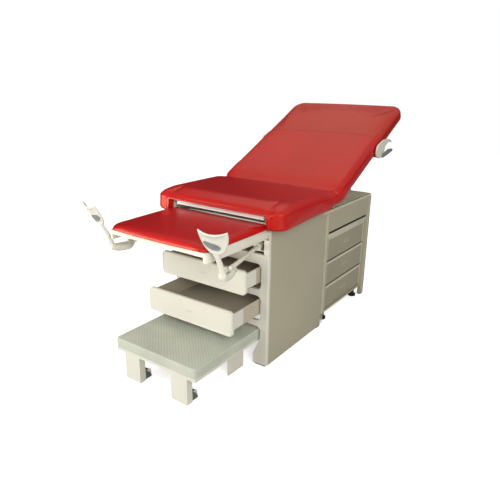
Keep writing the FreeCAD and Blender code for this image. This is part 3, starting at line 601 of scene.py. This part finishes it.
def rounded_rectangle(half_a, half_b, radius, steps=6):
    """A closed loop of (a, b) points, with steps + 1 of them round each corner."""
    loop = []
    for quarter, (sign_a, sign_b) in enumerate(((1, 1), (-1, 1), (-1, -1), (1, -1))):
        for k in range(steps + 1):
            turn = math.pi / 2 * (quarter + k / steps)
            loop.append((sign_a * (half_a - radius) + radius * math.cos(turn),
                         sign_b * (half_b - radius) + radius * math.sin(turn)))
    return loop


def border(name, plane, half_a, half_b, radius, profile):
    """A raised moulding round a rounded rectangle. profile lists (distance in from the outline, height)."""
    rings = []
    for inset, height in profile:
        loop = rounded_rectangle(half_a - inset, half_b - inset, max(radius - inset, 0.0008))
        rings.append([plane.at(a, b, height) for a, b in loop])
    return loft(name, rings, cap_ends=False)


def oval(name, plane, half_a, half_b, profile, sides=40):
    """A low oval boss. profile lists (share of the outline, height), from the rim to the middle."""
    rings = []
    for share, height in profile:
        ring = []
        for k in range(sides):
            angle = 2 * math.pi * k / sides
            ring.append(plane.at(half_a * share * math.cos(angle), half_b * share * math.sin(angle), height))
        rings.append(ring)
    return loft(name, rings)


# ------------------------------------------------------------------ cushions


def make_seat():
    """The seat's cushion: side lobes hang past the white rail, and its back end rises to clear the deck."""
    half, front, rear, top = 0.383, FRONT - 0.037, FRONT + 0.5, 0.810
    low, under, raised = 0.702, 0.7753, 0.768
    xs = stations(-half, half, 0.04, 0.004, 0.014, [(-0.301, 0.016), (0.301, 0.016)])
    ys = stations(front, rear, 0.045, 0.005, 0.014, [(FRONT + 0.45, 0.045)])
    zs = stations(low, top, 0.036, 0.005, 0.01)
    points, faces = box_shell(xs, ys, zs)
    points = rounded_slab(points, half, front, rear, low, top, (0.050, 0.012), 0.034, 0.019)
    x, y = np.abs(points[:, 0]), points[:, 1] - FRONT
    curl = 0.022
    reach = np.clip((0.314 - x) / curl, 0, 1)
    lobe = low + curl * (1 - np.sqrt(1 - reach ** 2)) * 0.9
    lobe += 0.018 * smooth_step(y, 0.02, 0.40)
    lobe = np.where(x < 0.292, under, lobe)
    lobe = np.maximum(lobe, low + (raised - low) * smooth_step(y, 0.408, 0.484))
    droop = 0.009 * (1 - smooth_step(y, -0.014, -0.007))
    floor = np.where(x < 0.289, under - droop, lobe)
    pivot = 0.782
    below = points[:, 2] < pivot
    share = (pivot - points[:, 2]) / (pivot - low)
    points[:, 2] = np.where(below, pivot - share * (pivot - floor), points[:, 2])
    item = new_object("seat_cushion", points, faces)
    inner = (x < 0.305) & (points[:, 2] < 0.7765)
    loose = 1 - smooth_step(y, 0.40, 0.49)
    crown = 0.004 * (1 - (x / half) ** 2) * (points[:, 2] > 0.79)
    crown -= 0.009 * (1 - smooth_step(y, front - FRONT, 0.075)) * smooth_step(points[:, 2], 0.775, 0.80)
    crown -= 0.004 * smooth_step(x, 0.30, half) * smooth_step(points[:, 2], 0.775, 0.80)
    plump(item, inner | (y > 0.495), 0.007, loose)
    place = coordinates(item)
    place[:, 2] += crown
    set_coordinates(item, place)
    subdivide(item)
    show(item, "base", "upholstery")
    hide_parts("seat_pad")


def on_back(x, along, above):
    """A point given on the lying backrest, moved to where the backrest stands at rest."""
    return Vector((x, HINGE.y + along * math.cos(TILT) - above * math.sin(TILT),
                   HINGE.z + along * math.sin(TILT) + above * math.cos(TILT)))


BACK_HALF, BACK_LOW, BACK_HIGH, BACK_THICK = 0.382, -0.043, 0.932, 0.043  # BACK_THICK is half the thickness
BACK_CORNER, BACK_EDGE = 0.085, 0.032


def make_backrest():
    """The backrest's cushion, with a seam across it and a more orange panel above the seam."""
    half, low, high, thick = BACK_HALF, BACK_LOW, BACK_HIGH, BACK_THICK
    seam = 0.535
    xs = stations(-half, half, 0.045, 0.005, 0.015)
    ys = stations(low, high, 0.045, 0.005, 0.015, [(seam, 0.016)])
    zs = stations(-thick, thick, 0.034, 0.006, 0.008)
    points, faces = box_shell(xs, ys, zs)
    flat = rounded_slab(points, half, low, high, -thick, thick, (BACK_CORNER, 0.074), BACK_EDGE, 0.026)
    place = np.array([on_back(*point) for point in flat])
    item = new_object("backrest_cushion", place, faces)
    under = (flat[:, 2] < -0.035) & (np.abs(flat[:, 0]) < 0.35)
    loose = smooth_step(flat[:, 1], -0.02, 0.09)
    plump(item, under | (flat[:, 1] < -0.03), 0.008, loose)
    place = coordinates(item)
    normal = np.array(on_back(0, 0, 1)) - np.array(HINGE)
    top = flat[:, 2] > 0
    crown = 0.004 * (1 - (flat[:, 0] / half) ** 2) * top
    groove = -0.0022 * np.exp(-((flat[:, 1] - seam) / 0.0045) ** 2) * top
    place += (crown + groove)[:, None] * normal
    set_coordinates(item, place)
    subdivide(item)
    show(item, "backrest", "upholstery")
    item.data.materials.append(MATERIALS["head_panel"])
    for face in item.data.polygons:
        face.material_index = int(all(flat[index, 1] > seam - 0.001 for index in face.vertices))
    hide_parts("backrest_pad")


def make_piping():
    """Piping round the lower end of the backrest's top edge, sinking into the cushion at both ends."""
    start, steps, spacing, angle = 0.20, 9, 0.03, math.radians(38)
    inset, height = BACK_EDGE * (1 - math.sin(angle)), BACK_THICK - BACK_EDGE * (1 - math.cos(angle))
    bend = BACK_CORNER - inset
    path = []
    for k in range(steps):
        sink = 0.006 * (1 - min(1, k / 4))
        along = start - k * (start - BACK_LOW - BACK_CORNER) / steps
        path.append((-(BACK_HALF - inset), along, height - sink))
    for k in range(steps):
        turn = math.pi + math.pi / 2 * k / (steps - 1)
        across = -(BACK_HALF - BACK_CORNER) + bend * math.cos(turn)
        path.append((across, BACK_LOW + BACK_CORNER + bend * math.sin(turn), height))
    path.append((0, BACK_LOW + inset, height))
    path += [(-x, y, z) for x, y, z in path[-2::-1]]
    long_path = []
    for first, second in zip(path, path[1:]):
        pieces = max(1, round(abs(second[0] - first[0]) / spacing))
        long_path += [tuple(a + (b - a) * k / pieces for a, b in zip(first, second)) for k in range(pieces)]
    long_path.append(path[-1])
    piping = tube("backrest_piping", [on_back(*point) for point in long_path], 0.0034)
    show(piping, "backrest", "upholstery")


def make_leg_pad():
    """The leg rest's cushion, with a bowed front."""
    half, front, rear, low, top = 0.282, FRONT - 0.431, FRONT + 0.006, 0.7003, 0.727
    xs = stations(-half, half, 0.03, 0.004, 0.014)
    ys = stations(front, rear, 0.035, 0.004, 0.014)
    zs = stations(low, top, 0.012, 0.003, 0.004)
    points, faces = box_shell(xs, ys, zs)
    points = rounded_slab(points, half, front, rear, low, top, (0.045, 0.006), 0.021, 0.005)
    x, y = points[:, 0], points[:, 1] - FRONT
    near = 1 - smooth_step(y, -0.43, -0.20)
    points[:, 1] -= 0.011 * (1 - (x / half) ** 2) * near
    drop = 1 - smooth_step(y, -0.431, -0.418)
    points[:, 2] -= 0.003 * drop * (points[:, 2] < 0.708)
    points[:, 2] -= 0.006 * (1 - smooth_step(y, -0.455, -0.37)) * smooth_step(points[:, 2], 0.703, 0.722)
    item = new_object("leg_rest_cushion", points, faces)
    held = (points[:, 2] < 0.7012) & (y > -0.42)
    plump(item, held | (y > 0.0), 0.004, 1 - smooth_step(y, -0.10, 0.0))
    subdivide(item)
    show(item, "leg_rest", "upholstery")
    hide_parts("leg_rest_pad")


# ------------------------------------------------------------------ stirrups

def arm_point(side, across, out, above):
    """A point given along the stirrup's bar: across it, out from its swivel, and above the bar."""
    x = SWIVEL[0] + across * math.cos(SWING) + out * math.sin(SWING)
    y = SWIVEL[1] + across * math.sin(SWING) - out * math.cos(SWING)
    return Vector((side * x, y, SWIVEL[2] + above))


def cup_point(side, a, b, depth):
    """A point on the cup: across and up its face, and outwards from its inner face."""
    return arm_point(side, -0.0075 + a, 0.473 + b * math.cos(CUP_TILT) + depth * math.sin(CUP_TILT),
                     0.095 + b * math.sin(CUP_TILT) - depth * math.cos(CUP_TILT))


def smooth_curve(keys, count):
    """Evenly numbered points on a Catmull-Rom curve through the keys."""
    keys = [np.array(key, float) for key in keys]
    spans = len(keys) - 1
    result = []
    for i in range(count):
        t = i / (count - 1) * spans
        k = min(int(t), spans - 1)
        t -= k
        p0, p1, p2, p3 = (keys[min(max(k + o, 0), spans)] for o in (-1, 0, 1, 2))
        result.append(0.5 * (2 * p1 + (p2 - p0) * t + (2 * p0 - 5 * p1 + 4 * p2 - p3) * t ** 2
                             + (3 * p1 - p0 - 3 * p2 + p3) * t ** 3))
    return result


def cup_wrap(a):
    return CUP_WRAP * ((a - CUP_MIDDLE) / CUP_REACH) ** 2


def wound(ring, sign):
    """A ring, or a list of rings, in the order that turns the skin's faces outwards."""
    return ring if sign > 0 else ring[::-1]


def make_shield(label, side):
    """The cup's plate: an outline in mm narrowing to the stem, horns at its top corners, and a rim."""
    right_side = [(0, 9), (20, 12), (40, 26), (54, 46), (64, 72), (69.5, 97), (71, 121)]
    horns = [(66, 123), (40, 119.5), (12, 118.5), (-16, 119.5), (-45, 124)]
    left_side = [(-51.5, 118), (-52, 96), (-49.5, 70), (-44, 46), (-33, 26), (-17, 12)]
    outline = [(0.001 * a, 0.001 * b) for a, b in
               smooth_curve(right_side, 22)[:-1] + [(70.8, 123), (69, 124.3)] + smooth_curve(horns, 17)
               + [(-48.5, 125.6), (-50.3, 124)] + smooth_curve(left_side, 18)]
    middle = 0.070
    layers = [(0.45, 0.0), (0.8, 0.0), (0.93, 0.0006), (0.985, 0.0022), (1.0, 0.0045),
              (0.985, 0.0070), (0.955, 0.0090), (0.90, 0.0090), (0.87, CUP_FACE), (0.45, CUP_FACE)]
    rings = []
    for share, depth in layers:
        ring = []
        for a, b in outline:
            a, b = CUP_MIDDLE + (a - CUP_MIDDLE) * share, middle + (b - middle) * share
            ring.append(cup_point(side, a, b, depth - cup_wrap(a)))
        rings.append(wound(ring, side))
    show(loft("stirrup_shield_" + label, rings), "stirrup_cup_" + label, "white_moulding")


def make_inlay(label, side):
    """The leaning oval on the cup's face."""
    half_a, half_b, lean, sides = 0.036, 0.019, math.radians(-17), 36
    centre_a, centre_b = -0.003, 0.057
    profile = [(1.0, -0.001), (0.99, 0.0016), (0.93, 0.0022), (0.88, 0.0012), (0.6, 0.0005), (0.2, 0.0002)]
    rings = []
    for share, height in profile:
        ring = []
        for k in range(sides):
            turn = 2 * math.pi * k / sides
            a, b = half_a * share * math.cos(turn), half_b * share * math.sin(turn)
            across = centre_a + a * math.cos(lean) - b * math.sin(lean)
            up = centre_b + a * math.sin(lean) + b * math.cos(lean)
            ring.append(cup_point(side, across, up, height + CUP_FACE - cup_wrap(across)))
        rings.append(wound(ring, side))
    show(loft("stirrup_inlay_" + label, rings), "stirrup_cup_" + label, "slate_plastic")


def make_stem(label, side):
    """The stem from the bar's joint up to the cup. Its keys are across, out, above, half width, half depth."""
    keys = [(0, 0.428, -0.024, 0.0150, 0.0085), (0, 0.4315, -0.010, 0.0148, 0.0090),
            (0, 0.4345, 0.006, 0.0132, 0.0092), (-0.001, 0.443, 0.030, 0.0118, 0.0090),
            (-0.003, 0.455, 0.058, 0.0110, 0.0088), (-0.005, 0.468, 0.082, 0.0112, 0.0075),
            (-0.0065, 0.477, 0.097, 0.0125, 0.0055), (-0.007, 0.4835, 0.109, 0.0125, 0.0030)]
    sides, squareness = 18, 0.8
    rings = []
    places = smooth_curve(keys, 26)
    for i, (x, u, z, wide, deep) in enumerate(places):
        after, before = places[min(i + 1, len(places) - 1)], places[max(i - 1, 0)]
        lean = math.atan2(after[1] - before[1], after[2] - before[2])
        ring = []
        for k in range(sides):
            turn = 2 * math.pi * k / sides
            a = wide * math.copysign(abs(math.cos(turn)) ** squareness, math.cos(turn))
            b = deep * math.copysign(abs(math.sin(turn)) ** squareness, math.sin(turn))
            ring.append(arm_point(side, x + a, u + b * math.cos(lean), z - b * math.sin(lean)))
        rings.append(wound(ring, side))
    show(loft("stirrup_stem_" + label, rings), "stirrup_cup_" + label, "white_moulding")


def make_boat(label, side):
    """The boat-shaped block over the joint: a trough at the bar's side that turns solid under the stem."""
    lengths = [np.linspace(0.329, 0.352, 8), np.linspace(0.36, 0.412, 6), np.linspace(0.417, 0.441, 9)]
    rings = []
    for u in np.concatenate(lengths):
        end = min(1, max(0.361 - u, 0) / 0.034 + max(u - 0.378, 0) / 0.066)
        bottom = -0.0375 + 0.0275 * (1 - math.sqrt(1 - end ** 2))
        top = -0.002 + 0.011 * float(smooth_step(u, 0.416, 0.436))
        solid = float(smooth_step(u, 0.419, 0.427))
        inner = bottom + 0.007 + (top - 0.001 - bottom - 0.007) * solid
        wide = 0.017 - 0.002 * float(smooth_step(u, 0.425, 0.441))
        outer = [(wide, top), (wide, bottom + 0.013), (wide * 0.9, bottom + 0.006),
                 (wide * 0.68, bottom + 0.0018), (wide * 0.35, bottom)]
        right_wall = [(wide - 0.0055, top), (wide - 0.0055, (top + inner) / 2), (wide - 0.0075, inner)]
        left_wall = [(0.007 - wide, inner), (0.0055 - wide, (top + inner) / 2), (0.0055 - wide, top)]
        loop = [(-a, b) for a, b in outer] + outer[::-1] + right_wall + left_wall
        rings.append(wound([arm_point(side, a, u, b) for a, b in loop], -side))
    boat = show(loft("stirrup_boat_" + label, rings), "stirrup_cup_" + label, "white_moulding")
    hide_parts("stirrup_cup_" + label)


def make_cup_screws(label, side):
    """A domed screw head on each flank of the boat. Its profile lists (radius, height)."""
    flank, out, above, sides = 0.0172, 0.343, -0.012, 20
    profile = [(0.0062, -0.001), (0.0060, 0.0012), (0.0050, 0.0018), (0.0026, 0.0018), (0.0022, 0.0006)]
    for place, outward in (("in", -1), ("out", 1)):
        rings = []
        for radius, height in profile:
            ring = []
            for k in range(sides):
                turn = 2 * math.pi * k / sides
                ring.append(arm_point(side, outward * flank + outward * height, out + radius * math.cos(turn),
                                      above + radius * math.sin(turn)))
            rings.append(wound(ring, outward * side))
        show(loft("stirrup_screw_{}_{}".format(place, label), rings), "stirrup_cup_" + label, "bright_steel")


def make_cup(label, side):
    make_shield(label, side)
    make_inlay(label, side)
    make_stem(label, side)
    make_boat(label, side)
    make_cup_screws(label, side)


# ------------------------------------------------------------------ step and drawers

def make_tread():
    """Low square studs over the step's tread, each row shifted by half a pitch."""
    half, front, rear, top = 0.243, FRONT - 0.465, FRONT + 0.075, 0.196
    margin, pitch, size, height = 0.018, 0.0180, 0.0062, 0.0011
    layers = ((size, top + SUNK), (size * 0.8, top + height * 0.75), (size * 0.45, top + height))
    points, faces = [], []
    rows = int((rear - front - 2 * margin) / (pitch / 2))
    columns = int((2 * half - 2 * margin) / pitch)
    for row in range(rows + 1):
        y = front + margin + row * pitch / 2
        for column in range(columns + 1):
            x = -half + margin + (column + 0.5 * (row % 2)) * pitch
            if x > half - margin:
                continue
            start = len(points)
            for spread, z in layers:
                points += [(x + spread * math.cos(a), y + spread * math.sin(a), z)
                           for a in (0, math.pi / 2, math.pi, math.pi * 1.5)]
            for ring in (start, start + 4):
                for k in range(4):
                    after = (k + 1) % 4
                    faces.append([ring + k, ring + after, ring + 4 + after, ring + 4 + k])
            faces.append([start + 8, start + 9, start + 10, start + 11])
    studs = new_object("tread_studs", points, faces)
    show(studs, "step", "tread_rubber", "tread_stud")


def make_roller_guards():
    """Wedge-shaped plates behind the step's front legs, one on each side of each roller."""
    outline = [(-0.8668, 0.004), (-0.829, 0.004), (-0.8265, 0.007), (-0.8275, 0.013), (-0.834, 0.024),
               (-0.845, 0.037), (-0.856, 0.047), (-0.8668, 0.051)]
    for label, side in (("right", 1), ("left", -1)):
        for place, low in (("in", 0.0990), ("out", 0.1815)):
            across = (low, low + 0.0012, low + 0.0052, low + 0.0064)
            rings = [[Vector((side * x, y, z)) for y, z in outline] for x in across]
            for ring in (rings[0], rings[-1]):
                middle = sum(ring, Vector()) / len(ring)
                ring[:] = [middle + (point - middle) * 0.93 for point in ring]
            guard = loft("roller_guard_{}_{}".format(place, label), wound(rings, -side))
            show(guard, "step", "grey_roller")


# Profiles of raised trim: (distance in, height), and for the boss (share of its outline, height)
RAISED = [(0.0, SUNK), (0.0006, 0.0011), (0.0022, 0.0017), (0.0058, 0.0017), (0.0078, 0.0004), (0.0082, SUNK)]
BOSS = [(1.0, SUNK), (0.985, 0.0012), (0.93, 0.0019), (0.86, 0.0016), (0.78, 0.0004), (0.5, 0.0002),
        (0.15, 0.0002)]
SIDE_DRAWER_LOW, SIDE_DRAWER_HIGH = 0.078, 0.516
SIDE_DRAWER_MIDDLE, SIDE_DRAWER_HALF = FRONT + (0.604 + 1.112) / 2, 0.252


def make_front_drawer_trim():
    """A raised rim and an oval boss on each moulded front. out is how far the drawer stands open."""
    for body, out, low, high in (("drawer_upper", 0.117, 0.414, 0.532), ("drawer_lower", 0.214, 0.247, 0.370)):
        face = FRONT - out - 0.015 + SUNK
        plane = Plane((0, face, (low + high) / 2), (1, 0, 0), (0, 0, 1))
        rim = border(body + "_rim", plane, 0.2535, (high - low) / 2 - 0.0025, 0.020, RAISED)
        show(rim, body, "cream_moulding")
        show(oval(body + "_boss", plane, 0.030, 0.0085, BOSS), body, "cream_moulding")


def make_side_drawer_panels():
    """The pressed fronts of the three side drawers, each with a boss. Their raised parts are painted paler as a
    painted highlight, and the field between them darker as painted shade.
    """
    third = (SIDE_DRAWER_HIGH - SIDE_DRAWER_LOW) / 3
    for number in range(3):
        body = "side_drawer_{}".format(number + 1)
        centre = SIDE_DRAWER_LOW + (number + 0.5) * third
        plane = Plane((0.283, SIDE_DRAWER_MIDDLE, centre), (0, 1, 0), (0, 0, 1))
        panel = relief_panel(body + "_panel", plane, SIDE_DRAWER_HALF, third / 2 - 0.0015, 0.014, drawer_relief)
        show(panel, body, "putty_enamel", "shaded_field_enamel")
        panel.data.materials.append(MATERIALS["highlight_enamel"])
        # Raised faces take the paler enamel as a painted highlight; the rest takes the darker one as painted
        # shade.
        for face in panel.data.polygons:
            face.material_index = int(face.center.x > 0.2852)
        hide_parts(body + "_front")
        # The boss takes the paler enamel as a painted highlight.
        show(oval(body + "_boss", plane, 0.032, 0.0105, BOSS), body, "putty_enamel", "highlight_enamel")


def make_wall_trim():
    """On the right wall: a black strip over the slot above the drawers as painted shade, a rail at the slot,
    and three upright beads; the rail and beads are painted paler as a painted highlight.
    """
    wall = Plane((SIDE_FACE, SIDE_DRAWER_MIDDLE, 0.5455), (0, 1, 0), (0, 0, 1))
    shadow_strip = [(-0.0058, SUNK), (-0.0058, 0.0007), (0.0058, 0.0007), (0.0058, SUNK)]
    # A black strip over the slot: painted shade for the slot's dark opening.
    show(bar("vent_shade_strip", wall, SIDE_DRAWER_HALF + 0.001, shadow_strip), "base", "black_rubber")
    rail = [(-0.0265, SUNK), (-0.0265, 0.0026), (-0.0250, 0.0036), (-0.0195, 0.0036), (-0.0180, 0.0020),
            (-0.0160, 0.0020), (-0.0145, 0.0044), (-0.0085, 0.0044), (-0.0070, 0.0030), (-0.0070, SUNK)]
    # The rail takes the paler enamel as a painted highlight.
    show(bar("vent_rail", wall, SIDE_DRAWER_HALF + 0.004, rail), "base", "putty_enamel", "highlight_enamel")
    bead = [(-0.0028, SUNK), (-0.0020, 0.0014), (0, 0.0021), (0.0020, 0.0014), (0.0028, SUNK)]
    # The beads take the paler enamel as a painted highlight.
    for name, y in (("bead_front", 0.1295), ("bead_second", 0.1435), ("bead_rear", 0.7100)):
        upright = Plane((SIDE_FACE, y, 0.335), (0, 0, 1), (0, -1, 0))
        show(bar("side_" + name, upright, 0.322, bead), "base", "putty_enamel", "highlight_enamel")


def drawer_relief(a, b, half_a, half_b):
    """The face of a side drawer: a lip along the top, strips at both ends and a low pillow between them."""
    lip = 0.0042 * smooth_step(b, half_b - 0.0155, half_b - 0.0125)
    first = 0.0038 * (1 - smooth_step(a, 0.0105 - half_a, 0.0130 - half_a))
    last = 0.0030 * smooth_step(a, half_a - 0.0125, half_a - 0.0100)
    pillow = 0.0012 * (1 - (a / half_a) ** 2) * (1 - (b / half_b) ** 2)
    undercut = -0.0045 * (1 - smooth_step(b, -half_b, 0.007 - half_b))
    return np.maximum(np.maximum(lip, first), np.maximum(last, pillow)) + undercut


def relief_panel(name, plane, half_a, half_b, thick, relief, edge=0.0022):
    """A closed panel whose face follows a height function, with rounded edges."""
    across = stations(-half_a, half_a, 0.016, 0.0011, 0.012)
    upward = stations(-half_b, half_b, 0.019, 0.0011, 0.010)
    points, faces = box_shell(across, upward, np.array([-thick, -edge, 0.0]))
    a, b = points[:, 0], points[:, 1]
    inside = np.minimum(half_a - np.abs(a), half_b - np.abs(b))
    sink = edge * (1 - np.sqrt(1 - (1 - np.clip(inside / edge, 0, 1)) ** 2))
    face, rim = points[:, 2] == 0.0, points[:, 2] == -edge
    points[:, 2] = np.where(face, relief(a, b, half_a, half_b) - sink, points[:, 2])
    points[:, 2] = np.where(rim, relief(a, b, half_a, half_b) - 2 * edge, points[:, 2])
    return new_object(name, [plane.at(*point) for point in points], faces)


def bar(name, plane, half, profile):
    """A straight moulding along the plane's first direction, with its corners eased at both ends."""
    middle_b = sum(b for b, _ in profile) / len(profile)
    ends = ((-half, 0.55), (0.0015 - half, 0.92), (0.004 - half, 1),
            (half - 0.004, 1), (half - 0.0015, 0.92), (half, 0.55))
    rings = []
    for a, share in ends:
        narrow = 0.4 + 0.6 * share
        rings.append([plane.at(a, middle_b + (b - middle_b) * narrow, h * share if h > 0 else h)
                      for b, h in profile])
    return loft(name, rings)


# ------------------------------------------------------------------ the whole scene

make_camera()
make_floor()
make_world()
for light in LIGHTS:
    area_light(*light)
dress_nodes()
make_seat()
make_backrest()
make_piping()
make_leg_pad()
make_cup("right", 1)
make_cup("left", -1)
make_tread()
make_roller_guards()
make_front_drawer_trim()
make_side_drawer_panels()
make_wall_trim()
